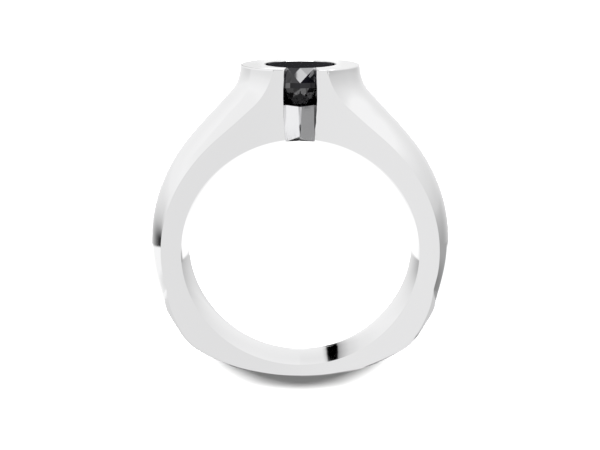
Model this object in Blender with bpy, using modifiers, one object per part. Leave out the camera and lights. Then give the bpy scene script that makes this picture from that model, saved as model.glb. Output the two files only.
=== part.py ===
"""A half bezel ring, lying on its side: one cast band with a round faceted stone.

The band is drawn in its own frame, in millimetres: X across the finger hole, Y along the
hole and Z from the hole's centre up through the head. An empty then lays it on its side,
with the head towards +Y and the flat side face on the ground.
"""

import math

import bmesh
import bpy
import numpy as np
from mathutils import Matrix, Vector

MM = 0.001

# Finger hole: a size 10 hole whose wall swells inwards for comfort
HOLE_RADIUS = 9.94
HOLE_DOME_RADIUS = 12.9
HOLE_CUTTER_HALF_LENGTH = 6.5
HOLE_SEGMENTS = 128
HOLE_ARC_STEPS = 14

# Flat side faces: half the band's width at the hole's centre, and how fast it widens upwards
HALF_WIDTH = 3.141
WIDENING = 0.0893
TAPER = math.atan(WIDENING)

# The head, from its flat top down the waist to where the shoulders flare
HEAD_TOP = 16.47
HEAD_ROWS = (
    # height, mid_x, edge_x
    (HEAD_TOP, 5.12, 2.22),
    (16.00, 5.17, 2.35),
    (15.40, 5.28, 2.54),
    (14.87, 5.46, 2.78),
    (14.36, 5.78, 3.07),
    (13.82, 6.24, 3.48),
    (13.38, 6.66, 3.90),
)
# The shoulders: the crowned back of the band round to where the crowning stops
SHOULDER_ROWS = (
    # edge_angle, edge_radius, mid_angle, mid_radius
    (70.9, 13.65, 61.5, 14.76),
    (66.0, 13.15, 58.5, 14.53),
    (60.0, 12.85, 54.5, 14.30),
    (52.0, 12.57, 49.5, 14.08),
    (43.0, 12.38, 42.0, 13.87),
    (33.0, 12.26, 33.0, 13.66),
    (22.0, 12.18, 22.0, 13.455),
    (11.0, 12.13, 11.0, 13.285),
    (0.0, 12.09, 0.0, 13.135),
    (-8.0, 12.06, -8.0, 13.06),
    (-14.0, 12.045, -14.0, 13.04),
)
# The squared lower half, whose bevelled edges thin out towards the bottom
SQUARED_ROWS = (
    # angle, edge_radius, mid_radius, bevel
    (-18.5, 12.20, 13.03, 0.36),
    (-29.0, 12.47, 12.92, 0.27),
    (-39.3, 12.60, 12.92, 0.18),
    (-49.6, 12.20, 12.42, 0.14),
    (-59.9, 11.83, 12.01, 0.13),
    (-70.0, 11.47, 11.645, 0.12),
    (-80.0, 11.27, 11.44, 0.12),
    (-90.0, 11.19, 11.36, 0.12),
)
STATION_SPACING = 0.62
ACROSS_STEPS = 12
JUST_INSIDE = 1 - 1e-9
STEP_GAP = 0.18
STEP_SWEEP = 1.3
STEP_REACH = 5.0

# The slot from front to back through the head, and the post that bridges it
SLOT_WAIST = 1.20
SLOT_FLARE = 0.22
SLOT_WIDEST_HEIGHT = 14.0
SLOT_BARREL_RADIUS = 28.7
SLOT_LEVELS = (8.0, 10.0, 11.0, 12.0, 13.0, 14.0, 15.0, 16.0, 18.0)
SLOT_HALF_LENGTH = 7.0
POST_RIDGE = 2.6
POST_SHOULDER = 1.4
POST_ROOT = 1.9
POST_TOP = 13.1
POST_BOTTOM = 9.0

# The stone, a round one cut with sixteen facets to a tier
STONE_GIRDLE_RADIUS = 3.27
STONE_GIRDLE_LOW = 14.76
STONE_GIRDLE_HIGH = 15.20
STONE_TABLE_HEIGHT = 16.41
STONE_TABLE_RADIUS = 2.81
STONE_STAR_HEIGHT = 15.83
STONE_CULET_HEIGHT = 11.96
STONE_SIDES = 16
STONE_MAINS_BELOW = 8
STONE_LOWER_HALF_SHARE = 0.78

# The turned seat inside the head, a little clear of the stone all round
SEAT_GAP = 0.06
SEAT_MOUTH_RADIUS = 3.09
SEAT_SEGMENTS = 96

METAL_COLOUR = (0.90, 0.90, 0.91, 1.0)
STONE_COLOUR = (0.008, 0.008, 0.010, 1.0)


def clear_scene():
    for existing in list(bpy.data.objects):
        bpy.data.objects.remove(existing, do_unlink=True)


def make_collection(name):
    collection = bpy.data.collections.new(name)
    bpy.context.scene.collection.children.link(collection)
    return collection


def make_material(name, colour, roughness, metallic):
    material = bpy.data.materials.new(name)
    material.use_nodes = True
    shader = material.node_tree.nodes["Principled BSDF"]
    shader.inputs["Base Color"].default_value = colour
    shader.inputs["Roughness"].default_value = roughness
    shader.inputs["Metallic"].default_value = metallic
    return material


def make_object(name, mesh, collection, parent):
    made = bpy.data.objects.new(name, mesh)
    made.parent = parent
    collection.objects.link(made)
    return made


def mesh_from(name, shape):
    """A mesh in metres from a bmesh drawn in millimetres."""
    bmesh.ops.recalc_face_normals(shape, faces=shape.faces)
    shape.transform(Matrix.Scale(MM, 4))
    mesh = bpy.data.meshes.new(name)
    shape.to_mesh(mesh)
    shape.free()
    return mesh


def half_width_at(height):
    return HALF_WIDTH + WIDENING * height


def polar(angle, radius):
    turned = math.radians(angle)
    return radius * math.cos(turned), radius * math.sin(turned)


def smooth_curve(points, places):
    """Values at the given places of the natural cubic curve through the points."""
    points = np.array(points, float)
    steps = np.linalg.norm(np.diff(points[:, :4], axis=0), axis=1)
    knots = np.concatenate(([0.0], np.cumsum(steps)))
    count = len(points)
    system = np.eye(count)
    right_side = np.zeros_like(points)
    for i in range(1, count - 1):
        before = knots[i] - knots[i - 1]
        after = knots[i + 1] - knots[i]
        system[i, i - 1 : i + 2] = before, 2 * (before + after), after
        rise_after = (points[i + 1] - points[i]) / after
        rise_before = (points[i] - points[i - 1]) / before
        right_side[i] = 6 * (rise_after - rise_before)
    bends = np.linalg.solve(system, right_side)
    places = knots[0] + np.asarray(places) * (knots[-1] - knots[0])
    index = np.clip(np.searchsorted(knots, places, side="right") - 1, 0, count - 2)
    span = (knots[index + 1] - knots[index])[:, None]
    ahead = (knots[index + 1] - places)[:, None] / span
    behind = 1 - ahead
    curved = (ahead**3 - ahead) * bends[index] + (behind**3 - behind) * bends[index + 1]
    return ahead * points[index] + behind * points[index + 1] + curved * span**2 / 6


def outline_rows():
    """Every row of the right half as edge_x, edge_z, mid_x, mid_z, bevel, and the step's row."""
    rows = [(edge_x, height, mid_x, height, 0.0) for height, mid_x, edge_x in HEAD_ROWS]
    for edge_angle, edge_radius, mid_angle, mid_radius in SHOULDER_ROWS:
        rows.append((*polar(edge_angle, edge_radius), *polar(mid_angle, mid_radius), 0.0))
    step_row = len(rows) - 1
    for angle, edge_radius, mid_radius, bevel in SQUARED_ROWS:
        rows.append((*polar(angle, edge_radius), *polar(angle, mid_radius), bevel))
    return rows, step_row


def outline_function():
    """The outline as a function of the distance along it, with its length and the step's place."""
    rows, step_row = outline_rows()
    past_bottom = [
        (-edge_x, edge_z, -mid_x, mid_z, bevel) for edge_x, edge_z, mid_x, mid_z, bevel in rows[-4:-1]
    ]
    points = np.array(rows + past_bottom[::-1])
    steps = np.linalg.norm(np.diff(points[:, :4], axis=0), axis=1)
    knots = np.concatenate(([0.0], np.cumsum(steps)))

    def at(distances):
        return smooth_curve(points, np.asarray(distances, float) / knots[-1])

    return at, knots[len(rows) - 1], knots[step_row]


def arc_rise(share, rise, half_width):
    """Height above its chord of a circular arc, at a share from -1 to 1 of its half width."""
    if rise < 1e-6:
        return 0.0
    radius = (half_width**2 + rise**2) / (2 * rise)
    return math.sqrt(radius**2 - (share * half_width) ** 2) - (radius - rise)


def section_points(outline, place, past_step, crowned, shares):
    """One line of points across the band's outer surface, from its front edge to its back one."""
    sweep = STEP_SWEEP * max(0.0, 1 - (past_step / STEP_REACH) ** 2) ** 2
    points = []
    for share in shares:
        row = outline([place + sweep * (1 - share**2)])[0]
        edge_x, edge_z, mid_x, mid_z, bevel = row
        half = half_width_at(edge_z)
        length = math.hypot(mid_x - edge_x, mid_z - edge_z)
        if crowned:
            bevel = SQUARED_ROWS[0][3]
        inner_half = half - bevel
        if abs(share) == 1:
            y = share * half
            out = 0.0
        elif crowned:
            y = share * inner_half
            out = arc_rise(y / half, length, half)
        else:
            y = share * inner_half
            out = bevel + arc_rise(share, length - bevel, inner_half)
        x = edge_x + (mid_x - edge_x) * out / length
        z = edge_z + (mid_z - edge_z) * out / length
        points.append(Vector((x, y, z)))
    return points


def band_outer_mesh():
    """The right half of the band with no holes, open on the mirror plane."""
    outline, bottom, step = outline_function()
    shares = [-1.0]
    shares += list(np.linspace(-JUST_INSIDE, JUST_INSIDE, ACROSS_STEPS + 1))
    shares.append(1.0)
    above = max(2, round(step / STATION_SPACING))
    below = max(2, round((bottom - step) / STATION_SPACING))
    stations = [(place, True) for place in np.linspace(0, step, above + 1)]
    stations += [(place, False) for place in np.linspace(step + STEP_GAP, bottom, below + 1)]
    shape = bmesh.new()
    lines = []
    for place, crowned in stations:
        points = section_points(outline, place, place - step, crowned, shares)
        lines.append([shape.verts.new(point) for point in points])
    for vertex in lines[0]:
        vertex.co.z = HEAD_TOP
    for vertex in lines[-1]:
        vertex.co.x = 0.0
    for upper, lower in zip(lines, lines[1:]):
        for left in range(len(shares) - 1):
            shape.faces.new((upper[left], upper[left + 1], lower[left + 1], lower[left]))
    for column, side in ((0, -1), (-1, 1)):
        top = shape.verts.new((0.0, side * half_width_at(HEAD_TOP), HEAD_TOP))
        shape.faces.new([line[column] for line in lines] + [top])
        if side < 0:
            front_top = top
    shape.faces.new([front_top, *lines[0], top])
    return mesh_from("band_outer", shape)


def loft(name, sections):
    """A closed solid through sections of the same number of points, each a level loop."""
    shape = bmesh.new()
    loops = [[shape.verts.new(point) for point in section] for section in sections]
    count = len(loops[0])
    for lower, upper in zip(loops, loops[1:]):
        for i in range(count):
            j = (i + 1) % count
            shape.faces.new((lower[i], lower[j], upper[j], upper[i]))
    shape.faces.new(reversed(loops[0]))
    shape.faces.new(loops[-1])
    return mesh_from(name, shape)


def slot_mesh():
    """The slot's cutter: waisted in plan, and barrel-shaped as seen from the front."""
    half_width_top = half_width_at(HEAD_TOP)
    sections = []
    for height in SLOT_LEVELS:
        flare = SLOT_FLARE - (height - SLOT_WIDEST_HEIGHT) ** 2 / (2 * SLOT_BARREL_RADIUS)
        reach = (SLOT_HALF_LENGTH - POST_SHOULDER) / (half_width_top - POST_SHOULDER)
        mouth = SLOT_WAIST + max(flare, 0.02) * reach
        plan = (
            (mouth, -SLOT_HALF_LENGTH),
            (SLOT_WAIST, -POST_SHOULDER),
            (SLOT_WAIST, POST_SHOULDER),
            (mouth, SLOT_HALF_LENGTH),
        )
        loop = [(x, y, height) for x, y in plan]
        loop += [(-x, y, height) for x, y in reversed(plan)]
        sections.append(loop)
    return loft("slot", sections)


def post_mesh():
    """The post under the stone, with a ridge to the front and the back and its roots in the walls."""
    plan = (
        (0.0, -POST_RIDGE),
        (SLOT_WAIST, -POST_SHOULDER),
        (POST_ROOT, -POST_SHOULDER),
        (POST_ROOT, POST_SHOULDER),
        (SLOT_WAIST, POST_SHOULDER),
        (0.0, POST_RIDGE),
        (-SLOT_WAIST, POST_SHOULDER),
        (-POST_ROOT, POST_SHOULDER),
        (-POST_ROOT, -POST_SHOULDER),
        (-SLOT_WAIST, -POST_SHOULDER),
    )
    return loft("post", [[(x, y, z) for x, y in plan] for z in (POST_BOTTOM, POST_TOP)])


def turned_piece(name, profile, segments, collection, parent):
    """A profile of radius and height pairs, from top to bottom, turned about its own Z."""
    mesh = bpy.data.meshes.new(name)
    points = [(radius * MM, 0.0, height * MM) for radius, height in profile]
    mesh.from_pydata(points, [(i, i + 1) for i in range(len(points) - 1)], [])
    turned = make_object(name, mesh, collection, parent)
    screw = turned.modifiers.new("turned", "SCREW")
    screw.steps = segments
    screw.render_steps = segments
    screw.use_merge_vertices = True
    screw.merge_threshold = 0.000001
    return turned


def hole_profile():
    """The finger hole's wall, domed inwards, from one end of its cutter to the other."""
    profile = [(0.0, HOLE_CUTTER_HALF_LENGTH)]
    for k in range(HOLE_ARC_STEPS + 1):
        height = HOLE_CUTTER_HALF_LENGTH * (1 - 2 * k / HOLE_ARC_STEPS)
        sag = HOLE_DOME_RADIUS - math.sqrt(HOLE_DOME_RADIUS**2 - height**2)
        profile.append((HOLE_RADIUS + sag, height))
    profile.append((0.0, -HOLE_CUTTER_HALF_LENGTH))
    return profile


def seat_profile():
    """The seat's wall, from above the head down round the stone to below its point."""
    star_radius = stone_star_radius() + SEAT_GAP
    girdle_radius = STONE_GIRDLE_RADIUS + SEAT_GAP
    return (
        (0.0, HEAD_TOP + 1.0),
        (SEAT_MOUTH_RADIUS, HEAD_TOP + 1.0),
        (SEAT_MOUTH_RADIUS, STONE_TABLE_HEIGHT - 0.2),
        (star_radius, STONE_STAR_HEIGHT),
        (girdle_radius, STONE_GIRDLE_HIGH),
        (girdle_radius, STONE_GIRDLE_LOW - SEAT_GAP / 2),
        (0.0, STONE_CULET_HEIGHT - SEAT_GAP),
    )


def stone_main_slope():
    rise = STONE_TABLE_HEIGHT - STONE_GIRDLE_HIGH
    return rise / (STONE_GIRDLE_RADIUS - STONE_TABLE_RADIUS)


def stone_star_radius():
    """Distance from the stone's axis to the points where two neighbouring main facets meet."""
    along = STONE_GIRDLE_RADIUS - (STONE_STAR_HEIGHT - STONE_GIRDLE_HIGH) / stone_main_slope()
    return along / math.cos(math.pi / STONE_SIDES)


def grind_facet(shape, azimuth, point, outwards):
    """Grinds a flat facet: what lies beyond the plane goes, and the cut is closed."""
    turn = Matrix.Rotation(azimuth, 3, "Z")
    geometry = shape.verts[:] + shape.edges[:] + shape.faces[:]
    cut = bmesh.ops.bisect_plane(
        shape,
        geom=geometry,
        dist=1e-7,
        plane_co=turn @ Vector(point),
        plane_no=turn @ Vector(outwards),
        clear_outer=True,
    )
    rim = [item for item in cut["geom_cut"] if isinstance(item, bmesh.types.BMEdge)]
    if len(rim) > 2:
        bmesh.ops.contextual_create(shape, geom=rim)


def grind_between(shape, azimuth, low, high):
    """Grinds the facet that faces an azimuth and runs through two radius and height pairs."""
    run = low[0] - high[0]
    rise = high[1] - low[1]
    grind_facet(shape, azimuth, (low[0], 0.0, low[1]), (rise, 0.0, run))


def stone_mesh():
    """The stone, ground from a sixteen-sided blank as a cutter would, tier by tier."""
    shape = bmesh.new()
    top = STONE_TABLE_HEIGHT
    bottom = STONE_CULET_HEIGHT - 0.5
    bmesh.ops.create_cone(
        shape,
        cap_ends=True,
        segments=STONE_SIDES,
        radius1=STONE_GIRDLE_RADIUS,
        radius2=STONE_GIRDLE_RADIUS,
        depth=top - bottom,
        matrix=Matrix.Translation((0.0, 0.0, (top + bottom) / 2)),
    )
    side_step = 2 * math.pi / STONE_SIDES
    half_step = side_step / 2
    star_radius = stone_star_radius()
    girdle = STONE_GIRDLE_RADIUS
    side_middle = girdle * math.cos(half_step)
    table_middle = STONE_TABLE_RADIUS * math.cos(half_step)
    for i in range(STONE_SIDES):
        azimuth = -math.pi / 2 + i * side_step
        grind_between(shape, azimuth, (girdle, STONE_GIRDLE_HIGH), (STONE_TABLE_RADIUS, top))
        star_low = (star_radius, STONE_STAR_HEIGHT)
        grind_between(shape, azimuth + half_step, star_low, (table_middle, top))
        grind_between(shape, azimuth + half_step, (side_middle, STONE_GIRDLE_HIGH), star_low)
    grind_underside(shape)
    return mesh_from("stone", shape)


def grind_underside(shape):
    """The underside: eight main facets to the point, and two lower halves between each pair."""
    main_step = 2 * math.pi / STONE_MAINS_BELOW
    half_step = main_step / 2
    slope = (STONE_GIRDLE_LOW - STONE_CULET_HEIGHT) / STONE_GIRDLE_RADIUS
    joint_radius = STONE_GIRDLE_RADIUS * (1 - STONE_LOWER_HALF_SHARE)
    joint_height = STONE_CULET_HEIGHT + joint_radius * math.cos(half_step) * slope
    corner = Vector((STONE_GIRDLE_RADIUS, 0.0, STONE_GIRDLE_LOW))
    for i in range(STONE_MAINS_BELOW):
        azimuth = -math.pi / 2 + i * main_step
        grind_facet(shape, azimuth, (0.0, 0.0, STONE_CULET_HEIGHT), (slope, 0.0, -1.0))
        for towards in (-half_step, half_step):
            beside = Vector((math.cos(towards), math.sin(towards), 0.0))
            along_girdle = beside * STONE_GIRDLE_RADIUS + Vector((0.0, 0.0, STONE_GIRDLE_LOW))
            joint = beside * joint_radius + Vector((0.0, 0.0, joint_height))
            outwards = (along_girdle - corner).cross(joint - corner)
            if outwards.z > 0:
                outwards.negate()
            grind_facet(shape, azimuth, corner, outwards)


def add_boolean(target, cutter, operation):
    cut = target.modifiers.new(cutter.name, "BOOLEAN")
    cut.operation = operation
    cut.solver = "EXACT"
    cut.object = cutter


def make_cutters(collection, parent):
    """The shapes that cut or join the band, none of them a piece of the ring."""
    slot = make_object("slot_cutter", slot_mesh(), collection, parent)
    post = make_object("post_form", post_mesh(), collection, parent)
    hole = turned_piece("hole_cutter", hole_profile(), HOLE_SEGMENTS, collection, parent)
    hole.rotation_euler.x = math.pi / 2
    seat = turned_piece("seat_cutter", seat_profile(), SEAT_SEGMENTS, collection, parent)
    for cutter in (slot, post, hole, seat):
        cutter.hide_render = True
        cutter.display_type = "WIRE"
    return slot, post, hole, seat


def make_band(collection, cutter_collection, parent):
    """The cast band: shank, shoulders, the two half bezels and the post between them."""
    band = make_object("band", band_outer_mesh(), collection, parent)
    mirror = band.modifiers.new("left half", "MIRROR")
    mirror.use_axis = (True, False, False)
    mirror.merge_threshold = 0.000001
    slot, post, hole, seat = make_cutters(cutter_collection, parent)
    add_boolean(band, slot, "DIFFERENCE")
    add_boolean(band, post, "UNION")
    add_boolean(band, seat, "DIFFERENCE")
    add_boolean(band, hole, "DIFFERENCE")
    band.data.shade_smooth()
    band.data.set_sharp_from_angle(angle=math.radians(25))
    band.data.materials.append(make_material("polished_white_metal", METAL_COLOUR, 0.06, 1.0))
    return band


def make_stone(collection, parent):
    stone = make_object("stone", stone_mesh(), collection, parent)
    stone.data.materials.append(make_material("black_stone", STONE_COLOUR, 0.03, 0.0))
    return stone


def lay_on_side(rest, band):
    """Turns the ring so that its flat back lies on the ground, centred on the origin."""
    rest.rotation_euler.x = TAPER - math.pi / 2
    rest.location.z = HALF_WIDTH * math.cos(TAPER) * MM
    bpy.context.view_layer.update()
    drawn = band.evaluated_get(bpy.context.evaluated_depsgraph_get())
    lengths = [(band.matrix_world @ vertex.co).y for vertex in drawn.data.vertices]
    rest.location.y = -(max(lengths) + min(lengths)) / 2
    bpy.context.view_layer.update()


def main():
    clear_scene()
    pieces = make_collection("half_bezel_ring")
    cutters = make_collection("cutters")
    rest = bpy.data.objects.new("ring_rest", None)
    pieces.objects.link(rest)
    band = make_band(pieces, cutters, rest)
    make_stone(pieces, rest)
    lay_on_side(rest, band)


main()
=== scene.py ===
"""A half bezel ring lying on its side: a polished band and a black faceted stone in a white studio.

The band's fine mesh is drawn in millimetres in its own frame, X across the finger hole, Y along
the hole and Z up through the head, from the same sizes as the solid that it stands for, but for a
slightly fairer edge where the shoulders rise into the head. It is then laid on its side, where the
solid is.
"""

import math

import bmesh
import bpy
import numpy as np
from mathutils import Matrix, Vector


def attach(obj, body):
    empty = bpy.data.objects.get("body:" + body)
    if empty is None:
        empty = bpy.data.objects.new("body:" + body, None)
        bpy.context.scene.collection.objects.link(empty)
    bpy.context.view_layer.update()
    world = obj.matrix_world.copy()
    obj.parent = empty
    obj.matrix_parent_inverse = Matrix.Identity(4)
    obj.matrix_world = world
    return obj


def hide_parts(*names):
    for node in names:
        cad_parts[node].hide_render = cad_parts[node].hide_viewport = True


bl_info = {
    "name": "Half Bezel Ring",
    "version": (1, 0, 0),
    "blender": (4, 5, 0),
    "location": "View3D > Sidebar > Half Bezel Ring",
    "description": "Builds a polished half bezel ring with a black stone around its solids",
    "category": "Add Mesh",
}

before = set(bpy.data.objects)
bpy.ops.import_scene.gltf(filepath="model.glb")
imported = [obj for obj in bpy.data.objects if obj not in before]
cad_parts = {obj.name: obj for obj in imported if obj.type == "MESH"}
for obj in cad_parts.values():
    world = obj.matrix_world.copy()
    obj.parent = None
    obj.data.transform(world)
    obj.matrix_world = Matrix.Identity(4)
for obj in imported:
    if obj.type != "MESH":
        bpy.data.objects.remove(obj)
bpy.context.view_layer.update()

MM = 0.001

# The head, from its flat top down the waist to where the shoulders flare. Here and at the top of
# the shoulders the edges run a few hundredths of a millimetre fairer than on the solid.
HEAD_TOP = 16.47
HEAD_ROWS = (
    # height, mid_x, edge_x
    (HEAD_TOP, 5.12, 2.22),
    (16.00, 5.17, 2.342),
    (15.40, 5.28, 2.544),
    (14.87, 5.46, 2.782),
    (14.36, 5.78, 3.079),
    (13.82, 6.24, 3.481),
    (13.38, 6.66, 3.892),
)
# The shoulders: the crowned back of the band round to where the crowning stops
SHOULDER_ROWS = (
    # edge_angle, edge_radius, mid_angle, mid_radius
    (71.106, 13.634, 61.5, 14.76),
    (65.856, 13.165, 58.5, 14.53),
    (60.096, 12.837, 54.5, 14.30),
    (52.0, 12.57, 49.5, 14.08),
    (43.0, 12.38, 42.0, 13.87),
    (33.0, 12.26, 33.0, 13.66),
    (22.0, 12.18, 22.0, 13.455),
    (11.0, 12.13, 11.0, 13.285),
    (0.0, 12.09, 0.0, 13.135),
    (-8.0, 12.06, -8.0, 13.06),
    (-14.0, 12.045, -14.0, 13.04),
)
# The squared lower half, whose bevelled edges thin out towards the bottom
SQUARED_ROWS = (
    # angle, edge_radius, mid_radius, bevel
    (-18.5, 12.20, 13.03, 0.36),
    (-29.0, 12.47, 12.92, 0.27),
    (-39.3, 12.60, 12.92, 0.18),
    (-49.6, 12.20, 12.42, 0.14),
    (-59.9, 11.83, 12.01, 0.13),
    (-70.0, 11.47, 11.645, 0.12),
    (-80.0, 11.27, 11.44, 0.12),
    (-90.0, 11.19, 11.36, 0.12),
)
# How finely the outer surface is drawn, along the outline and across the band
STATION_SPACING = 0.22
ACROSS_STEPS = 32
# The small step where the crowning stops: its length along the outline, how far its middle bows
# towards the foot, and how far along the outline that bow fades out
STEP_GAP = 0.10
STEP_SWEEP = 1.3
STEP_REACH = 5.0

# The cutter of the finger hole
HOLE_CUTTER_HALF_LENGTH = 6.5
HOLE_SEGMENTS = 256
HOLE_ARC_STEPS = 40

# The slot through the head, and the post that bridges it
SLOT_FLARE = 0.22
SLOT_LEAST_FLARE = 0.02
SLOT_WIDEST_HEIGHT = 14.0
SLOT_BARREL_RADIUS = 28.7
SLOT_LEVELS = (8.0, 9.0, 10.0, 11.0, 12.0, 13.0, 14.0, 15.0, 16.0, 18.0)
SLOT_HALF_LENGTH = 7.0
POST_SHOULDER = 1.4
POST_ROOT = 1.9
POST_TOP = 13.1
POST_BOTTOM = 9.0

# The outline of the seat that the stone stands in
SEAT_CUTTER_RISE = 1.0
SEAT_MOUTH_RADIUS = 3.09
SEAT_MOUTH_DEPTH = 0.26
SEAT_WALL_RADIUS = 3.33
SEAT_STAR_RADIUS = 3.163
SEAT_STAR_HEIGHT = 15.83
SEAT_WALL_HIGH = 15.20
SEAT_WALL_LOW = 14.73
SEAT_POINT_HEIGHT = 11.90
SEAT_SEGMENTS = 192

# How near to each other points count as one, on the mirror plane and on a turned shape's axis
MIRROR_MERGE = 0.001
TURNED_MERGE = 0.0005

# Edges that turn by more than this, in degrees, stay crisp, except that the head's rim and the
# slot's upright edges at the front and the back are rounded, and the seat's mouth is a little
SHARP_ANGLE = 24
RIM_DEPTH = 0.3
RIM_SLOT_HALF_WIDTH = 2.0
SEAT_MOUTH_ROUNDING = 0.4
SLOT_EDGE_LEAST_X = 0.5
SLOT_EDGE_LEAST_Y = 2.9
ROUNDING_SEGMENTS = 2

# How far the hole's centre lies from the middle of the ring's length as it rests
REST_SHIFT = -2.685

# The photograph's camera in the ring's own frame, fitted to the two rims of the finger hole
CAMERA_PLACE = (0.0, -102.97, 27.30)
CAMERA_PITCH = 13.70
CAMERA_FOCAL_PIXELS = 1192.9
CAMERA_CENTRE_X = 300.2
FRAME_WIDTH = 600
SENSOR_WIDTH = 36.0
CAMERA_NEAR = 0.005
CAMERA_FAR = 10.0

# The ranges of the studio's directions in degrees, seen from the ring in its own frame: height
# from straight down to straight up, and bearing from the viewer, who is at 0, with + on the right
HEIGHTS = (-90.0, 90.0)
BEARINGS = (-180.0, 180.0)

# The studio above its horizon as the ring sees it: brightness by height in degrees, in front
# of the ring, beside it, past its sides and behind it
BACKDROP = {
    "left": (
        ((-15, 0.76), (-5, 0.77), (12, 0.80), (30, 0.80), (90, 0.9)),
        (
            (-15, 0.72), (-3, 0.75), (0, 0.78), (3, 0.83), (10, 0.88),
            (18, 0.90), (26, 0.87), (36, 0.86), (90, 1.0),
        ),
        (
            (-12, 0.0), (-11, 0.03), (-10, 0.12), (-9, 0.20), (-8, 0.30), (-7, 0.40),
            (-5.5, 0.5), (-4, 0.58), (-2, 0.66), (0, 0.70), (3, 0.775), (8, 0.87), (90, 1.0),
        ),
        (
            (-14, 0.74), (-12, 0.79), (-9, 0.87), (-6, 0.89),
            (2, 0.89), (16, 0.84), (30, 0.80), (90, 1.0),
        ),
    ),
    "right": (
        ((-15, 0.72), (-5, 0.80), (0, 0.86), (26, 0.90), (90, 1.0)),
        (
            (-15, 0.33), (-7, 0.43), (-3, 0.50), (0, 0.60), (12, 0.72),
            (20, 0.77), (25, 0.81), (31, 0.91), (90, 0.95),
        ),
        (
            (-14, 0.36), (-7, 0.44), (-3, 0.51), (0, 0.61), (8, 0.70),
            (16, 0.75), (24, 0.82), (31, 0.91), (90, 0.95),
        ),
        (
            (-14, 0.62), (-12, 0.69), (-9, 0.74), (-7, 0.79), (-5, 0.84),
            (5, 0.86), (12, 0.85), (30, 0.83), (90, 1.0),
        ),
    ),
}
# The bearings from the viewer's side, in degrees, at which one part gives way to the next
BACKDROP_TURNS = {
    "left": ((48.0, 62.0), (105.0, 114.0), (108.0, 178.0)),
    "right": ((46.0, 56.0), (88.0, 104.0), (122.0, 172.0)),
}
# How gradually the left side gives way to the right one
MIDDLE_BLUR = 0.01
# Below the horizon: brightness by bearing near the viewer and far from them, and how it falls off
# far from them towards straight down
HORIZON = -14.6
HORIZON_BLUR = 0.4
GROUND_TURN = (98.0, 106.0)
GROUND_NEAR = (
    (-120, 0.72), (-20, 0.75), (-2, 0.75), (2, 0.79), (12, 0.79), (24, 0.62), (80, 0.62), (88, 0.3),
)
GROUND_FAR = (
    (-180, 1.05), (-153, 1.05), (-148, 0.92), (-90, 0.92), (90, 0.29), (146.5, 0.29), (150, 1.05),
)
GROUND_FALL = ((-90, 0.76), (-40, 0.76), (-30, 0.76), (-26, 0.84), (-22, 1.0))
# The black flag's two ends, and the share of the light that it lets through by degrees from the
# line between them
FLAG_FOOT = (-176.0, 0.0)
FLAG_HEAD = (-162.6, 35.0)
FLAG_SHADE = (
    (-20, 1.0), (-2.6, 0.98), (-1.7, 0.75), (-1.2, 0.0), (1.7, 0.0),
    (2.05, 0.42), (3.3, 0.62), (5.4, 0.82), (9.4, 0.94), (20, 1.0),
)
FLAG_SPAN = (-20.0, 20.0)
# How many times narrower than that the flag is, by height
FLAG_NARROWING = ((0, 1.9), (6, 1.5), (12, 1.05), (24, 0.76), (35, 0.72))
# The heights between which it starts, is full, and ends, and how it starts behind the ring
FLAG_HEIGHTS = (0.0, 3.0, 35.0, 38.0)
FLAG_BEHIND = (0.0, 0.1)
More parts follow.
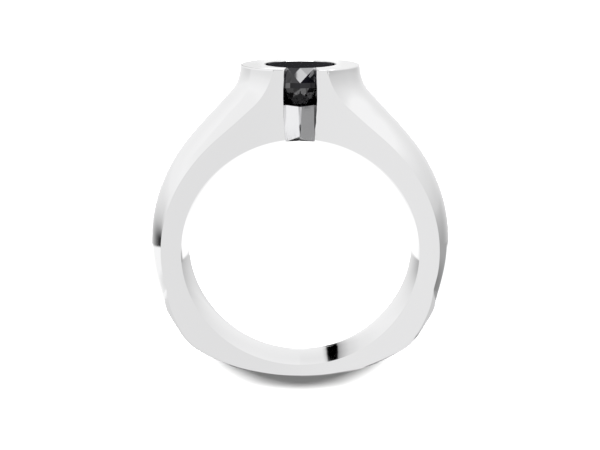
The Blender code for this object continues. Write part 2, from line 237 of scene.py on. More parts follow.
# Boards, cards, carpets and soft boxes that the stone, the post and the band mirror: the bearings
# and the heights between which each starts, is full, and ends, and its brightness
CARDS = {
    "bright card by the viewer": ((0.3, 0.8, 10.0, 12.0), (-9.0, -8.0, -4.0, -3.0), 1.0),
    "grey card by the viewer": ((-12.0, -11.0, 0.3, 0.8), (-9.0, -8.0, -4.0, -3.0), 0.34),
    "dark card by the viewer": ((-15.4, -14.8, -7.4, -6.4), (-9.0, -8.0, -4.0, -3.0), 0.06),
    "black card low on the left": ((-28.0, -26.0, -14.6, -14.0), (-9.5, -8.5, -5.2, -4.4), 0.13),
    "dark card low on the right": ((16.0, 18.0, 30.0, 33.0), (-11.0, -10.0, -6.0, -5.0), 0.17),
    "black card on the right": ((20.5, 21.5, 28.0, 30.0), (9.5, 10.5, 19.0, 21.0), 0.0),
    "dark card on the right": ((7.0, 9.0, 20.5, 21.5), (9.5, 10.5, 19.0, 21.0), 0.3),
    "dark card on the left": ((-30.0, -28.0, -21.5, -20.5), (9.5, 10.5, 19.0, 21.0), 0.33),
    "black card on the left": ((-21.5, -20.5, -9.0, -7.0), (9.5, 10.5, 19.0, 21.0), 0.0),
    "dark card over the right": ((38.0, 40.0, 49.0, 52.0), (21.0, 23.0, 29.0, 30.0), 0.36),
    "black card over the left": ((-46.5, -45.5, -39.0, -37.0), (25.0, 27.0, 35.0, 37.0), 0.0),
    "dark card high on the left": ((-40.0, -36.0, -0.26, -0.18), (30.5, 31.5, 60.0, 64.0), 0.27),
    "soft box over the left": ((-54.0, -50.0, -46.5, -45.5), (31.0, 33.0, 38.0, 42.0), 2.5),
    "soft box in the middle": ((-0.26, -0.18, 5.0, 9.0), (31.0, 33.0, 38.0, 41.0), 3.3),
    "soft box over the right": ((38.0, 42.0, 50.0, 54.0), (30.0, 31.5, 36.0, 39.0), 2.7),
    "soft box high on the right": ((20.0, 24.0, 36.0, 40.0), (46.0, 49.0, 55.0, 58.0), 2.3),
    "soft box far right": ((74.0, 78.0, 86.0, 90.0), (40.0, 40.6, 50.0, 56.0), 3.4),
    "white board on the right": ((48.0, 52.0, 76.0, 80.0), (-20.0, -17.0, -11.0, -8.0), 1.1),
    "white board on the left": ((-80.0, -76.0, -52.0, -48.0), (-20.0, -17.0, -11.0, -8.0), 1.1),
    "grey carpet far right": ((76.0, 86.0, 109.0, 116.0), (-92.0, -91.0, -24.0, -21.0), 0.6),
    "light carpet far right": ((110.0, 114.0, 134.0, 142.0), (-92.0, -91.0, -50.0, -46.0), 0.75),
    "dark carpet behind on the left": (
        (-182.0, -181.0, -146.0, -138.0), (-92.0, -91.0, -64.0, -60.0), 0.2,
    ),
    "dark carpet behind on the right": (
        (152.0, 162.0, 181.0, 182.0), (-92.0, -91.0, -64.0, -60.0), 0.3,
    ),
    "grey card far right": ((112.0, 118.0, 146.0, 151.5), (-23.0, -16.5, -14.2, -13.6), 0.37),
    "grey card behind on the left": ((-179.4, -179.1, -175.0, -173.0), (5.76, 5.86, 6.5, 6.7), 0.76),
    "black carpet on the right": ((-6.0, 6.0, 70.0, 84.0), (-92.0, -91.0, -52.0, -42.0), 0.02),
    "grey carpet on the left": ((-84.0, -70.0, -6.0, 6.0), (-92.0, -91.0, -52.0, -42.0), 0.36),
}
# A white board behind the ring, by degrees from the viewer's bearing
REAR_BOARD = ((177.9, 178.3, 181.0, 182.0), (4.4, 4.9, 5.72, 5.86), 1.15)
# The metal's haze and its polishing lines, which run round the band
HAZE_SCALE = 420.0
HAZE_DETAIL = 3.0
HAZE_CLEAREST = 0.35
HAZE_CLOUDIEST = 0.7
HAIRLINE_SCALE = 900.0
HAIRLINE_STRETCH = (0.4, 0.4, 6.0)
HAIRLINE_DEPTH = 0.00001
STONE_ROUGHNESS = 0.02

# Two suns that light only the floor, from beyond the head on both sides, so that the foot shades a
# strip of it
SUN_SPREAD = 18.0
SUN_TURNS = {"right": (-42.0, 0.0, -40.0), "left": (-42.0, 0.0, 40.0)}
# The floor, in metres, and the patch of painted glow in the finger hole, where the floor gives off its
# own light, in millimetres
FLOOR_HALF_SIZE = 2.0
FLOOR_ROUGHNESS = 0.6
GLOW_RADIUS = 9.6
GLOW_FADE = 1.5
WHITE = (1.0, 1.0, 1.0, 1.0)
BLACK = (0.0, 0.0, 0.0, 1.0)


class RingSizes(bpy.types.PropertyGroup):
    """The sizes of the ring that a jeweller would change."""

    hole_diameter: bpy.props.FloatProperty(
        name="Finger Hole",
        description="Width of the finger hole at its narrowest, in millimetres",
        default=19.88,
    )
    hole_dome_radius: bpy.props.FloatProperty(
        name="Hole Dome",
        description="Radius of the hole wall's inward swell, in millimetres",
        default=12.9,
    )
    half_width: bpy.props.FloatProperty(
        name="Half Width",
        description="Half the band's width at the hole's centre, in millimetres",
        default=3.141,
    )
    widening: bpy.props.FloatProperty(
        name="Widening",
        description="How much the half width grows with each unit of height",
        default=0.0893,
        subtype="FACTOR",
    )
    slot_waist: bpy.props.FloatProperty(
        name="Slot Waist",
        description="Half the slot's width at the post, in millimetres",
        default=1.20,
    )
    post_ridge: bpy.props.FloatProperty(
        name="Post Ridge",
        description="How far the post's ridge stands from the ring's middle, in millimetres",
        default=2.6,
    )
    edge_rounding: bpy.props.FloatProperty(
        name="Edge Rounding",
        description="Width of the polished rounding along the head's edges, in millimetres",
        default=0.085,
    )


class RingFinish(bpy.types.PropertyGroup):
    """The colours and polish of the metal and the stone."""

    metal_colour: bpy.props.FloatVectorProperty(
        name="Metal",
        description="Colour of the polished white metal",
        subtype="COLOR",
        size=4,
        default=(0.93, 0.93, 0.935, 1.0),
    )
    metal_roughness: bpy.props.FloatProperty(
        name="Metal Roughness",
        description="Roughness of the polished metal where it is clearest",
        subtype="FACTOR",
        default=0.03,
    )
    metal_haze: bpy.props.FloatProperty(
        name="Haze",
        description="How much rougher the metal is where the polish is cloudy",
        subtype="FACTOR",
        default=0.04,
    )
    hairlines: bpy.props.FloatProperty(
        name="Hairlines",
        description="Strength of the faint lines that polishing leaves",
        subtype="FACTOR",
        default=0.12,
    )
    stone_colour: bpy.props.FloatVectorProperty(
        name="Stone",
        description="Colour of the black stone",
        subtype="COLOR",
        size=4,
        default=(0.001, 0.001, 0.0015, 1.0),
    )
    stone_shine: bpy.props.FloatVectorProperty(
        name="Stone Shine",
        description="Colour of what the stone's facets mirror",
        subtype="COLOR",
        size=4,
        default=(0.68, 0.68, 0.69, 1.0),
    )
    stone_polish: bpy.props.FloatProperty(
        name="Stone Polish",
        description="How much of the stone's look is its shine, and not its colour",
        subtype="FACTOR",
        default=0.25,
    )


class RingStudio(bpy.types.PropertyGroup):
    """The white floor and the light around the ring."""

    floor_colour: bpy.props.FloatVectorProperty(
        name="Floor",
        description="Colour of the white floor",
        subtype="COLOR",
        size=4,
        default=(0.3, 0.3, 0.3, 1.0),
    )
    sky_strength: bpy.props.FloatProperty(
        name="Sky",
        description="Brightness of the light from all round",
        default=1.06,
    )
    overhead_strength: bpy.props.FloatProperty(
        name="Overhead Lights",
        description="Brightness of each of the two broad lights above the ring",
        default=17.0,
    )
    # The painted glow: the floor in the finger hole gives off its own light, which hides the band's
    # shade there
    glow_strength: bpy.props.FloatProperty(
        name="Light Table",
        description="Brightness of the lit patch of floor in the finger hole",
        default=1.0,
    )


def half_width_at(height, sizes):
    """Half the band's width at a height, where its flat side faces are."""
    return sizes.half_width + sizes.widening * height


def polar(angle, radius):
    """The x and z of a point round the finger hole, with the angle in degrees from X."""
    turned = math.radians(angle)
    return radius * math.cos(turned), radius * math.sin(turned)


def outline_rows():
    """Every row of the right half as edge_x, edge_z, mid_x, mid_z, bevel, and the step's row."""
    rows = [(edge_x, height, mid_x, height, 0.0) for height, mid_x, edge_x in HEAD_ROWS]
    for edge_angle, edge_radius, mid_angle, mid_radius in SHOULDER_ROWS:
        rows.append((*polar(edge_angle, edge_radius), *polar(mid_angle, mid_radius), 0.0))
    step_row = len(rows) - 1
    for angle, edge_radius, mid_radius, bevel in SQUARED_ROWS:
        rows.append((*polar(angle, edge_radius), *polar(angle, mid_radius), bevel))
    return rows, step_row


def smooth_curve(points, knots, places):
    """Values at the given places of the natural cubic curve through the points."""
    count = len(points)
    system = np.eye(count)
    right_side = np.zeros_like(points)
    for i in range(1, count - 1):
        before = knots[i] - knots[i - 1]
        after = knots[i + 1] - knots[i]
        system[i, i - 1 : i + 2] = before, 2 * (before + after), after
        rise_after = (points[i + 1] - points[i]) / after
        rise_before = (points[i] - points[i - 1]) / before
        right_side[i] = 6 * (rise_after - rise_before)
    bends = np.linalg.solve(system, right_side)
    index = np.clip(np.searchsorted(knots, places, side="right") - 1, 0, count - 2)
    span = (knots[index + 1] - knots[index])[:, None]
    ahead = (knots[index + 1] - places)[:, None] / span
    behind = 1 - ahead
    curved = (ahead**3 - ahead) * bends[index] + (behind**3 - behind) * bends[index + 1]
    return ahead * points[index] + behind * points[index + 1] + curved * span**2 / 6


def outline_function():
    """The outline as a function of the distance along it, with its length and the step's place."""
    rows, step_row = outline_rows()
    past_bottom = [
        (-edge_x, edge_z, -mid_x, mid_z, bevel) for edge_x, edge_z, mid_x, mid_z, bevel in rows[-4:-1]
    ]
    points = np.array(rows + past_bottom[::-1])
    steps = np.linalg.norm(np.diff(points[:, :4], axis=0), axis=1)
    knots = np.concatenate(([0.0], np.cumsum(steps)))

    def at(places):
        return smooth_curve(points, knots, np.asarray(places, float))

    return at, knots[len(rows) - 1], knots[step_row]


def arc_shares(rise, half, inner_half):
    """Shares of the half width at equal turns along a crowning arc, from edge to edge."""
    radius = (half**2 + rise**2) / (2 * rise)
    widest = math.asin(inner_half / radius)
    turns = np.linspace(-widest, widest, ACROSS_STEPS + 1)
    return np.sin(turns) * radius / inner_half


def section_points(outline, place, past_step, crowned, sizes):
    """One line of points across the band's outer surface, from its front edge to its back one."""
    sweep = STEP_SWEEP * max(0.0, 1 - (past_step / STEP_REACH) ** 2) ** 2
    edge_x, edge_z, mid_x, mid_z, bevel = outline([place])[0]
    half = half_width_at(edge_z, sizes)
    length = math.hypot(mid_x - edge_x, mid_z - edge_z)
    if crowned:
        shares = arc_shares(length, half, half)
    else:
        inner = arc_shares(length - bevel, half - bevel, half - bevel)
        shares = np.concatenate(([-1.0], inner, [1.0]))
    rows = outline(place + sweep * (1 - shares**2))
    points = []
    for i, (share, row) in enumerate(zip(shares, rows)):
        edge_x, edge_z, mid_x, mid_z, bevel = row
        half = half_width_at(edge_z, sizes)
        length = math.hypot(mid_x - edge_x, mid_z - edge_z)
        if i in (0, len(shares) - 1):
            y = share * half
            out = 0.0
        elif crowned:
            y = share * half
            radius = (half**2 + length**2) / (2 * length)
            out = math.sqrt(radius**2 - y**2) - (radius - length)
        else:
            inner_half = half - bevel
            y = share * inner_half
            rise = length - bevel
            radius = (inner_half**2 + rise**2) / (2 * rise)
            out = bevel + math.sqrt(max(0.0, radius**2 - y**2)) - (radius - rise)
        x = edge_x + (mid_x - edge_x) * out / length
        z = edge_z + (mid_z - edge_z) * out / length
        points.append(Vector((x, y, z)))
    return points


def join_lines(shape, upper, lower):
    """Faces between two lines of points, the lower one with as many or two more points."""
    if len(lower) > len(upper):
        shape.faces.new((upper[0], lower[1], lower[0]))
        shape.faces.new((upper[-1], lower[-1], lower[-2]))
        lower = lower[1:-1]
    for left in range(len(upper) - 1):
        shape.faces.new((upper[left], upper[left + 1], lower[left + 1], lower[left]))


def band_outer_mesh(sizes):
    """The right half of the band with no holes, open on the mirror plane."""
    outline, bottom, step = outline_function()
    above = round(step / STATION_SPACING)
    below = round((bottom - step) / STATION_SPACING)
    stations = [(place, True) for place in np.linspace(0, step, above + 1)]
    stations += [(place, False) for place in np.linspace(step + STEP_GAP, bottom, below + 1)]
    shape = bmesh.new()
    lines = []
    for place, crowned in stations:
        points = section_points(outline, place, place - step, crowned, sizes)
        lines.append([shape.verts.new(point) for point in points])
    for vertex in lines[0]:
        vertex.co.z = HEAD_TOP
    for vertex in lines[-1]:
        vertex.co.x = 0.0
    for upper, lower in zip(lines, lines[1:]):
        join_lines(shape, upper, lower)
    ends = []
    for column, side in ((0, -1), (-1, 1)):
        top = shape.verts.new((0.0, side * half_width_at(HEAD_TOP, sizes), HEAD_TOP))
        shape.faces.new([line[column] for line in lines] + [top])
        ends.append(top)
    shape.faces.new([ends[0], *lines[0], ends[1]])
    return mesh_from("band_outer", shape)


def mesh_from(name, shape):
    """The shape as a mesh with its faces turned outwards; the shape itself is freed."""
    bmesh.ops.recalc_face_normals(shape, faces=shape.faces)
    mesh = bpy.data.meshes.new(name)
    shape.to_mesh(mesh)
    shape.free()
    return mesh


def loft(name, sections):
    """A closed solid through sections of the same number of points, each a level loop."""
    shape = bmesh.new()
    loops = [[shape.verts.new(point) for point in section] for section in sections]
    count = len(loops[0])
    for lower, upper in zip(loops, loops[1:]):
        for i in range(count):
            j = (i + 1) % count
            shape.faces.new((lower[i], lower[j], upper[j], upper[i]))
    shape.faces.new(reversed(loops[0]))
    shape.faces.new(loops[-1])
    return mesh_from(name, shape)


def slot_mesh(sizes):
    """The slot's cutter: waisted in plan, and barrel-shaped as seen from the front."""
    waist = sizes.slot_waist
    half_width_top = half_width_at(HEAD_TOP, sizes)
    reach = (SLOT_HALF_LENGTH - POST_SHOULDER) / (half_width_top - POST_SHOULDER)
    sections = []
    for height in SLOT_LEVELS:
        flare = SLOT_FLARE - (height - SLOT_WIDEST_HEIGHT) ** 2 / (2 * SLOT_BARREL_RADIUS)
        mouth = waist + max(flare, SLOT_LEAST_FLARE) * reach
        plan = (
            (mouth, -SLOT_HALF_LENGTH),
            (waist, -POST_SHOULDER),
            (waist, POST_SHOULDER),
            (mouth, SLOT_HALF_LENGTH),
        )
        loop = [(x, y, height) for x, y in plan]
        loop += [(-x, y, height) for x, y in reversed(plan)]
        sections.append(loop)
    return loft("slot", sections)


def post_mesh(sizes):
    """The post under the stone, with a ridge to the front and the back and its roots in the walls."""
    waist = sizes.slot_waist
    plan = (
        (0.0, -sizes.post_ridge),
        (waist, -POST_SHOULDER),
        (POST_ROOT, -POST_SHOULDER),
        (POST_ROOT, POST_SHOULDER),
        (waist, POST_SHOULDER),
        (0.0, sizes.post_ridge),
        (-waist, POST_SHOULDER),
        (-POST_ROOT, POST_SHOULDER),
        (-POST_ROOT, -POST_SHOULDER),
        (-waist, -POST_SHOULDER),
    )
    return loft("post", [[(x, y, z) for x, y in plan] for z in (POST_BOTTOM, POST_TOP)])


def turned_mesh(name, profile, segments):
    """A profile of radius and height pairs, from top to bottom, turned about Z."""
    shape = bmesh.new()
    points = [shape.verts.new((radius, 0.0, height)) for radius, height in profile]
    edges = [shape.edges.new(pair) for pair in zip(points, points[1:])]
    bmesh.ops.spin(
        shape,
        geom=points + edges,
        cent=(0, 0, 0),
        axis=(0, 0, 1),
        angle=2 * math.pi,
        steps=segments,
        use_merge=True,
    )
    bmesh.ops.remove_doubles(shape, verts=shape.verts, dist=TURNED_MERGE)
    return mesh_from(name, shape)


def hole_mesh(sizes):
    """The finger hole's cutter, with its wall domed inwards."""
    radius = sizes.hole_diameter / 2
    dome = sizes.hole_dome_radius
    profile = [(0.0, HOLE_CUTTER_HALF_LENGTH)]
    for height in np.linspace(HOLE_CUTTER_HALF_LENGTH, -HOLE_CUTTER_HALF_LENGTH, HOLE_ARC_STEPS + 1):
        profile.append((radius + dome - math.sqrt(dome**2 - height**2), height))
    profile.append((0.0, -HOLE_CUTTER_HALF_LENGTH))
    mesh = turned_mesh("hole", profile, HOLE_SEGMENTS)
    mesh.transform(Matrix.Rotation(math.pi / 2, 4, "X"))
    return mesh


def seat_mesh():
    """The turned seat, a little clear of the stone all round."""
    profile = (
        (0.0, HEAD_TOP + SEAT_CUTTER_RISE),
        (SEAT_MOUTH_RADIUS, HEAD_TOP + SEAT_CUTTER_RISE),
        (SEAT_MOUTH_RADIUS, HEAD_TOP - SEAT_MOUTH_DEPTH),
        (SEAT_STAR_RADIUS, SEAT_STAR_HEIGHT),
        (SEAT_WALL_RADIUS, SEAT_WALL_HIGH),
        (SEAT_WALL_RADIUS, SEAT_WALL_LOW),
        (0.0, SEAT_POINT_HEIGHT),
    )
    return turned_mesh("seat", profile, SEAT_SEGMENTS)


def scratch_object(name, mesh):
    """An object that is there only while a mesh is made."""
    made = bpy.data.objects.new(name, mesh)
    bpy.context.scene.collection.objects.link(made)
    return made


def baked_mesh(maker, name):
    """The maker's mesh with all its modifiers applied, without the objects that made it."""
    bpy.context.view_layer.update()
    drawn = maker.evaluated_get(bpy.context.evaluated_depsgraph_get())
    mesh = bpy.data.meshes.new_from_object(drawn)
    mesh.name = name
    return mesh


def cut_band(sizes):
    """The whole band as one closed mesh, in millimetres."""
    band = scratch_object("band_blank", band_outer_mesh(sizes))
    mirror = band.modifiers.new("left half", "MIRROR")
    mirror.use_axis = (True, False, False)
    mirror.merge_threshold = MIRROR_MERGE
    tools = (
        (slot_mesh(sizes), "DIFFERENCE"),
        (post_mesh(sizes), "UNION"),
        (seat_mesh(), "DIFFERENCE"),
        (hole_mesh(sizes), "DIFFERENCE"),
    )
    scratch = [band]
    for tool_mesh, operation in tools:
        tool = scratch_object(tool_mesh.name + "_tool", tool_mesh)
        cut = band.modifiers.new(tool.name, "BOOLEAN")
        cut.operation = operation
        cut.solver = "EXACT"
        cut.object = tool
        scratch.append(tool)
    mesh = baked_mesh(band, "band_cut")
    for item in scratch:
        bpy.data.objects.remove(item, do_unlink=True)
    return mesh


def rounding_share(edge):
    """How much of the full rounding an edge gets: the head's are round and the others crisp."""
    start, end = (corner.co for corner in edge.verts)
    middle = (start + end) / 2
    aside = abs(middle.x)
    if middle.z > HEAD_TOP - RIM_DEPTH:
        outside_seat = math.hypot(middle.x, middle.y) > SEAT_WALL_RADIUS
        return 1.0 if outside_seat or aside < RIM_SLOT_HALF_WIDTH else SEAT_MOUTH_ROUNDING
    upright = abs(end.z - start.z) > abs(end.x - start.x)
    on_slot = SLOT_EDGE_LEAST_X < aside < POST_ROOT and middle.z > POST_BOTTOM
    return 1.0 if upright and on_slot and abs(middle.y) > SLOT_EDGE_LEAST_Y else 0.0


def round_edges(mesh, sizes):
    """The mesh with its edges rounded, and normals that keep the flat faces flat."""
    shape = bmesh.new()
    shape.from_mesh(mesh)
    weight = shape.edges.layers.float.new("bevel_weight_edge")
    for face in shape.faces:
        face.smooth = True
    for edge in shape.edges:
        edge.smooth = True
        if edge.is_manifold and edge.calc_face_angle() > math.radians(SHARP_ANGLE):
            edge[weight] = rounding_share(edge)
            edge.smooth = edge[weight] > 0
    shape.to_mesh(mesh)
    shape.free()
    blank = scratch_object("band_edges", mesh)
    rounding = blank.modifiers.new("rounding", "BEVEL")
    rounding.width = sizes.edge_rounding
    rounding.segments = ROUNDING_SEGMENTS
    rounding.limit_method = "WEIGHT"
    rounding.use_clamp_overlap = False
    rounding.miter_outer = "MITER_ARC"
    weighted = blank.modifiers.new("flat faces", "WEIGHTED_NORMAL")
    weighted.mode = "FACE_AREA"
    weighted.keep_sharp = True
    rounded = baked_mesh(blank, "band_round")
    bpy.data.objects.remove(blank, do_unlink=True)
    return rounded


def rest_matrix(sizes):
    """From the ring's own frame in millimetres to where it rests on its side, in metres."""
    taper = math.atan(sizes.widening)
    lift = sizes.half_width * math.cos(taper)
    laid = Matrix.Translation((0.0, REST_SHIFT, lift)) @ Matrix.Rotation(taper - math.pi / 2, 4, "X")
    return Matrix.Scale(MM, 4) @ laid


class NodeKit:
    """Short ways to build a chain of nodes in one tree."""

    def __init__(self, tree):
        self.nodes = tree.nodes
        self.links = tree.links

    def add(self, kind, **settings):
        """A new node with the given settings."""
        node = self.nodes.new(kind)
        for name, value in settings.items():
            setattr(node, name, value)
        return node

    def feed(self, socket, value):
        """Gives a socket a link where the value is another node's output, and else the value."""
        if isinstance(value, bpy.types.NodeSocket):
            self.links.new(value, socket)
        else:
            socket.default_value = value

    def math(self, operation, *values):
        """The result of one operation on the values."""
        node = self.add("ShaderNodeMath", operation=operation)
        for socket, value in zip(node.inputs, values):
            self.feed(socket, value)
        return node.outputs[0]

    def smooth(self, value, low, high):
        """From 0 at low to 1 at high, with a soft start and end."""
        node = self.add("ShaderNodeMapRange", interpolation_type="SMOOTHSTEP")
        self.feed(node.inputs["Value"], value)
        node.inputs["From Min"].default_value = low
        node.inputs["From Max"].default_value = high
        return node.outputs["Result"]

    def window(self, value, stops):
        """From 0 up to 1 between the first two stops, and down to 0 between the last two."""
        start, full, full_end, end = stops
        return self.math("MULTIPLY", self.smooth(value, start, full), self.smooth(value, end, full_end))

    def blend(self, share, first, second):
        """The first value where the share is 0, the second where it is 1, and a mix between."""
        node = self.add("ShaderNodeMix")
        self.feed(node.inputs["Factor"], share)
        self.feed(node.inputs["A"], first)
        self.feed(node.inputs["B"], second)
        return node.outputs["Result"]

    def curve(self, value, stops, span):
        """A brightness that runs through stops of place and brightness, anywhere in the span."""
        low, high = span
        spread = self.add("ShaderNodeMapRange")
        self.feed(spread.inputs["Value"], value)
        spread.inputs["From Min"].default_value = low
        spread.inputs["From Max"].default_value = high
        ramp = self.add("ShaderNodeValToRGB")
        self.feed(ramp.inputs["Fac"], spread.outputs["Result"])
        elements = ramp.color_ramp.elements
        while len(elements) < len(stops):
            elements.new(0.5)
        for element, (place, brightness) in zip(elements, stops):
            element.position = (place - low) / (high - low)
            element.color = (brightness, brightness, brightness, 1.0)
        return ramp.outputs["Color"]


def polished_metal(finish):
    """White metal polished to a mirror, with the faint haze and hairlines that polishing leaves."""
    material = bpy.data.materials.new("polished_white_metal_fine")
    material.use_nodes = True
    shader = material.node_tree.nodes["Principled BSDF"]
    shader.inputs["Base Color"].default_value = finish.metal_colour
    shader.inputs["Metallic"].default_value = 1.0
    kit = NodeKit(material.node_tree)
    place = kit.add("ShaderNodeTexCoord").outputs["Object"]
    haze = kit.add("ShaderNodeTexNoise")
    kit.feed(haze.inputs["Vector"], place)
    haze.inputs["Scale"].default_value = HAZE_SCALE
    haze.inputs["Detail"].default_value = HAZE_DETAIL
    spread = kit.add("ShaderNodeMapRange")
    kit.feed(spread.inputs["Value"], haze.outputs["Fac"])
    spread.inputs["From Min"].default_value = HAZE_CLEAREST
    spread.inputs["From Max"].default_value = HAZE_CLOUDIEST
    spread.inputs["To Min"].default_value = finish.metal_roughness
    spread.inputs["To Max"].default_value = finish.metal_roughness + finish.metal_haze
    kit.feed(shader.inputs["Roughness"], spread.outputs["Result"])
    stretched = kit.add("ShaderNodeMapping")
    kit.feed(stretched.inputs["Vector"], place)
    stretched.inputs["Scale"].default_value = HAIRLINE_STRETCH
    hairlines = kit.add("ShaderNodeTexNoise")
    kit.feed(hairlines.inputs["Vector"], stretched.outputs["Vector"])
    hairlines.inputs["Scale"].default_value = HAIRLINE_SCALE
    bump = kit.add("ShaderNodeBump")
    bump.inputs["Strength"].default_value = finish.hairlines
    bump.inputs["Distance"].default_value = HAIRLINE_DEPTH
    kit.feed(bump.inputs["Height"], hairlines.outputs["Fac"])
    kit.feed(shader.inputs["Normal"], bump.outputs["Normal"])
    return material


def black_stone(finish):
    """Opaque black stone, polished flat: it mirrors a sixth of the light, and less at low angles."""
    material = bpy.data.materials.new("black_stone_fine")
    material.use_nodes = True
    shader = material.node_tree.nodes["Principled BSDF"]
    shader.inputs["Base Color"].default_value = finish.stone_shine
    shader.inputs["Metallic"].default_value = 1.0
    shader.inputs["Specular Tint"].default_value = BLACK
    shader.inputs["Roughness"].default_value = STONE_ROUGHNESS
    kit = NodeKit(material.node_tree)
    body = kit.add("ShaderNodeBsdfDiffuse")
    body.inputs["Color"].default_value = finish.stone_colour
    mixed = kit.add("ShaderNodeMixShader")
    mixed.inputs["Fac"].default_value = finish.stone_polish
    kit.feed(mixed.inputs[1], body.outputs["BSDF"])
    kit.feed(mixed.inputs[2], shader.outputs["BSDF"])
    kit.feed(material.node_tree.nodes["Material Output"].inputs["Surface"], mixed.outputs["Shader"])
    return material


class HALFBEZEL_OT_band(bpy.types.Operator):
    """Builds the polished band with its two half bezels over the solid"""

    bl_idname = "half_bezel.band"
    bl_label = "Band"

    def execute(self, context):
        sizes = context.scene.half_bezel_sizes
        mesh = round_edges(cut_band(sizes), sizes)
        mesh.transform(rest_matrix(sizes))
        mesh.materials.clear()
        mesh.materials.append(polished_metal(context.scene.half_bezel_finish))
        band = bpy.data.objects.new("polished_band", mesh)
        context.scene.collection.objects.link(band)
        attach(band, "root")
        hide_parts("band")
        return {"FINISHED"}


class HALFBEZEL_OT_stone(bpy.types.Operator):
    """Gives the stone's solid its polished black finish"""

    bl_idname = "half_bezel.stone"
    bl_label = "Stone"

    def execute(self, context):
        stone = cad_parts["stone"]
        material = black_stone(context.scene.half_bezel_finish)
        for place in stone.material_slots:
            place.material = material
        return {"FINISHED"}


class HALFBEZEL_OT_studio(bpy.types.Operator):
    """Lays the white floor and sets the lights and the camera"""

    bl_idname = "half_bezel.studio"
    bl_label = "Studio"

    def execute(self, context):
        scene = context.scene
        lay_floor(scene)
        light_studio(scene)
        place_camera(scene)
        scene.view_settings.view_transform = "Standard"
        return {"FINISHED"}


def lay_floor(scene):
    """The white floor, with a painted glow in the finger hole, as on a light table, that keeps it white
    where the band would shade it.
    """
    studio = scene.half_bezel_studio
    shape = bmesh.new()
    bmesh.ops.create_grid(shape, x_segments=1, y_segments=1, size=FLOOR_HALF_SIZE)
    mesh = mesh_from("floor", shape)
    material = bpy.data.materials.new("white_floor")
    material.use_nodes = True
    shader = material.node_tree.nodes["Principled BSDF"]
    shader.inputs["Base Color"].default_value = studio.floor_colour
    shader.inputs["Roughness"].default_value = FLOOR_ROUGHNESS
    kit = NodeKit(material.node_tree)
    place = kit.add("ShaderNodeTexCoord")
    away = kit.add("ShaderNodeVectorMath", operation="DISTANCE")
    kit.feed(away.inputs[0], place.outputs["Object"])
    away.inputs[1].default_value = (0.0, REST_SHIFT * MM, 0.0)
    # Painted glow: a soft disc of emission on the floor inside the finger hole, which covers the band's
    # shade there
    painted_glow = kit.smooth(away.outputs["Value"], (GLOW_RADIUS + GLOW_FADE) * MM, GLOW_RADIUS * MM)
    shader.inputs["Emission Color"].default_value = WHITE
    kit.feed(shader.inputs["Emission Strength"], kit.math("MULTIPLY", painted_glow, studio.glow_strength))
    mesh.materials.append(material)
    floor = bpy.data.objects.new("floor", mesh)
    floor.visible_glossy = False
    scene.collection.objects.link(floor)


def light_studio(scene):
    """The boards, cards and flag all round, as a world that depends only on the direction."""
    world = bpy.data.worlds.new("studio")
    scene.world = world
    world.use_nodes = True
    background = world.node_tree.nodes["Background"]
    kit = NodeKit(world.node_tree)
    place = kit.add("ShaderNodeTexCoord")
    turned = kit.add("ShaderNodeVectorRotate", rotation_type="X_AXIS")
    turned.inputs["Angle"].default_value = math.pi / 2 - math.atan(scene.half_bezel_sizes.widening)
    kit.feed(turned.inputs["Vector"], place.outputs["Generated"])
    vector = turned.outputs["Vector"]
    parts = kit.add("ShaderNodeSeparateXYZ")
    kit.feed(parts.inputs["Vector"], vector)
    across, along, up = parts.outputs
    height = kit.math("DEGREES", kit.math("ARCSINE", up))
    bearing = kit.math("DEGREES", kit.math("ARCTAN2", across, kit.math("MULTIPLY", along, -1.0)))
    spread = kit.math("ABSOLUTE", bearing)
    above = light_above(kit, across, spread, height)
    below = light_below(kit, bearing, spread, height)
    risen = kit.smooth(height, HORIZON - HORIZON_BLUR, HORIZON + HORIZON_BLUR)
    light = kit.blend(risen, below, above)
    light = add_flag(kit, vector, height, light)
    for card in CARDS.values():
        light = add_card(kit, bearing, height, light, card)
    light = add_card(kit, spread, height, light, REAR_BOARD)
    kit.feed(background.inputs["Color"], light)
    background.inputs["Strength"].default_value = scene.half_bezel_studio.sky_strength
    add_suns(scene)


def light_above(kit, across, spread, height):
    """The backdrop above the horizon, a run of parts on each side from the viewer to the back."""
    sides = []
    for side, ramps in BACKDROP.items():
        light = kit.curve(height, ramps[0], HEIGHTS)
        for ramp, turn in zip(ramps[1:], BACKDROP_TURNS[side]):
            light = kit.blend(kit.smooth(spread, *turn), light, kit.curve(height, ramp, HEIGHTS))
        sides.append(light)
    return kit.blend(kit.smooth(across, -MIDDLE_BLUR, MIDDLE_BLUR), *sides)


def light_below(kit, bearing, spread, height):
    """The ground below the horizon."""
    far = kit.curve(bearing, GROUND_FAR, BEARINGS)
    far = kit.math("MULTIPLY", far, kit.curve(height, GROUND_FALL, HEIGHTS))
    near = kit.curve(bearing, GROUND_NEAR, BEARINGS)
    return kit.blend(kit.smooth(spread, *GROUND_TURN), near, far)


def add_card(kit, bearing, height, light, card):
    """The light with one card, board, carpet or soft box in front of it."""
    bearings, heights, brightness = card
    share = kit.math("MULTIPLY", kit.window(bearing, bearings), kit.window(height, heights))
    return kit.blend(share, light, brightness)


def direction(bearing, height):
    """The unit vector at a bearing from the viewer's side and a height, both in degrees."""
    flat = math.cos(math.radians(height))
    turned = math.radians(bearing)
    return Vector((math.sin(turned) * flat, -math.cos(turned) * flat, math.sin(math.radians(height))))


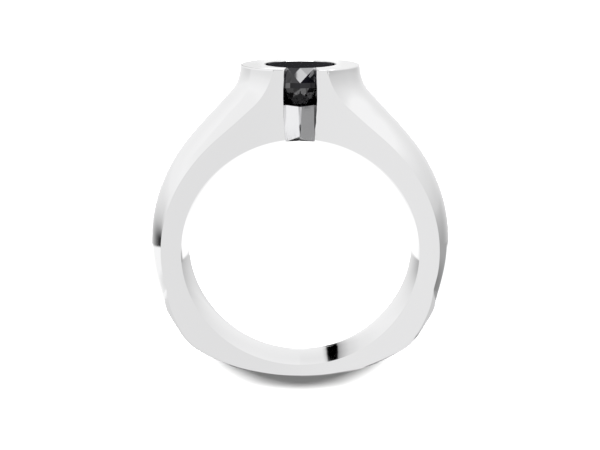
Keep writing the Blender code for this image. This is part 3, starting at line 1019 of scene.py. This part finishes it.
def add_flag(kit, vector, height, light):
    """The light with a narrow black flag behind the ring, which the inside of the band mirrors."""
    edge = direction(*FLAG_HEAD).cross(direction(*FLAG_FOOT)).normalized()
    dot = kit.add("ShaderNodeVectorMath", operation="DOT_PRODUCT")
    kit.feed(dot.inputs[0], vector)
    dot.inputs[1].default_value = edge
    beside = kit.math("DEGREES", kit.math("ARCSINE", dot.outputs["Value"]))
    beside = kit.math("MULTIPLY", beside, kit.curve(height, FLAG_NARROWING, HEIGHTS))
    shade = kit.curve(beside, FLAG_SHADE, FLAG_SPAN)
    parts = kit.add("ShaderNodeSeparateXYZ")
    kit.feed(parts.inputs["Vector"], vector)
    behind = kit.smooth(parts.outputs["Y"], *FLAG_BEHIND)
    reach = kit.math("MULTIPLY", kit.window(height, FLAG_HEIGHTS), behind)
    return kit.math("MULTIPLY", light, kit.blend(reach, 1.0, shade))


def add_suns(scene):
    """Broad lights from above, one on each side of the head, that the floor gets its white from."""
    for side, turns in SUN_TURNS.items():
        data = bpy.data.lights.new("overhead_" + side, "SUN")
        data.energy = scene.half_bezel_studio.overhead_strength
        data.angle = math.radians(SUN_SPREAD)
        sun = bpy.data.objects.new("overhead_" + side, data)
        sun.rotation_euler = [math.radians(turn) for turn in turns]
        sun.visible_glossy = False
        scene.collection.objects.link(sun)


def place_camera(scene):
    """The photograph's camera, moved with the ring from its own frame to where it rests."""
    data = bpy.data.cameras.new("camera")
    data.sensor_width = SENSOR_WIDTH
    data.lens = CAMERA_FOCAL_PIXELS * SENSOR_WIDTH / FRAME_WIDTH
    data.shift_x = (FRAME_WIDTH / 2 - CAMERA_CENTRE_X) / FRAME_WIDTH
    data.clip_start = CAMERA_NEAR
    data.clip_end = CAMERA_FAR
    camera = bpy.data.objects.new("camera", data)
    tilt = math.radians(90 - CAMERA_PITCH)
    upright = Matrix.Translation(CAMERA_PLACE) @ Matrix.Rotation(tilt, 4, "X")
    place = rest_matrix(scene.half_bezel_sizes) @ upright
    camera.matrix_world = Matrix.LocRotScale(place.to_translation(), place.to_quaternion(), None)
    scene.collection.objects.link(camera)
    scene.camera = camera


class HALFBEZEL_PT_panel(bpy.types.Panel):
    """Lists the ring's sizes, finish and studio with the steps that build them"""

    bl_idname = "HALFBEZEL_PT_panel"
    bl_label = "Half Bezel Ring"
    bl_space_type = "VIEW_3D"
    bl_region_type = "UI"
    bl_category = "Half Bezel Ring"

    def draw(self, context):
        for name in ("half_bezel_sizes", "half_bezel_finish", "half_bezel_studio"):
            box = self.layout.box()
            group = getattr(context.scene, name)
            for field in group.bl_rna.properties:
                if field.identifier not in ("rna_type", "name"):
                    box.prop(group, field.identifier)
        for step in STEPS:
            self.layout.operator(step.bl_idname)


STEPS = (HALFBEZEL_OT_band, HALFBEZEL_OT_stone, HALFBEZEL_OT_studio)
GROUPS = (RingSizes, RingFinish, RingStudio)


def register():
    for item in GROUPS + STEPS + (HALFBEZEL_PT_panel,):
        bpy.utils.register_class(item)
    bpy.types.Scene.half_bezel_sizes = bpy.props.PointerProperty(type=RingSizes)
    bpy.types.Scene.half_bezel_finish = bpy.props.PointerProperty(type=RingFinish)
    bpy.types.Scene.half_bezel_studio = bpy.props.PointerProperty(type=RingStudio)


def unregister():
    del bpy.types.Scene.half_bezel_studio
    del bpy.types.Scene.half_bezel_finish
    del bpy.types.Scene.half_bezel_sizes
    for item in reversed(GROUPS + STEPS + (HALFBEZEL_PT_panel,)):
        bpy.utils.unregister_class(item)


def main():
    """Builds the ring and its studio."""
    register()
    bpy.ops.half_bezel.band()
    bpy.ops.half_bezel.stone()
    bpy.ops.half_bezel.studio()


if __name__ == "__main__":
    main()
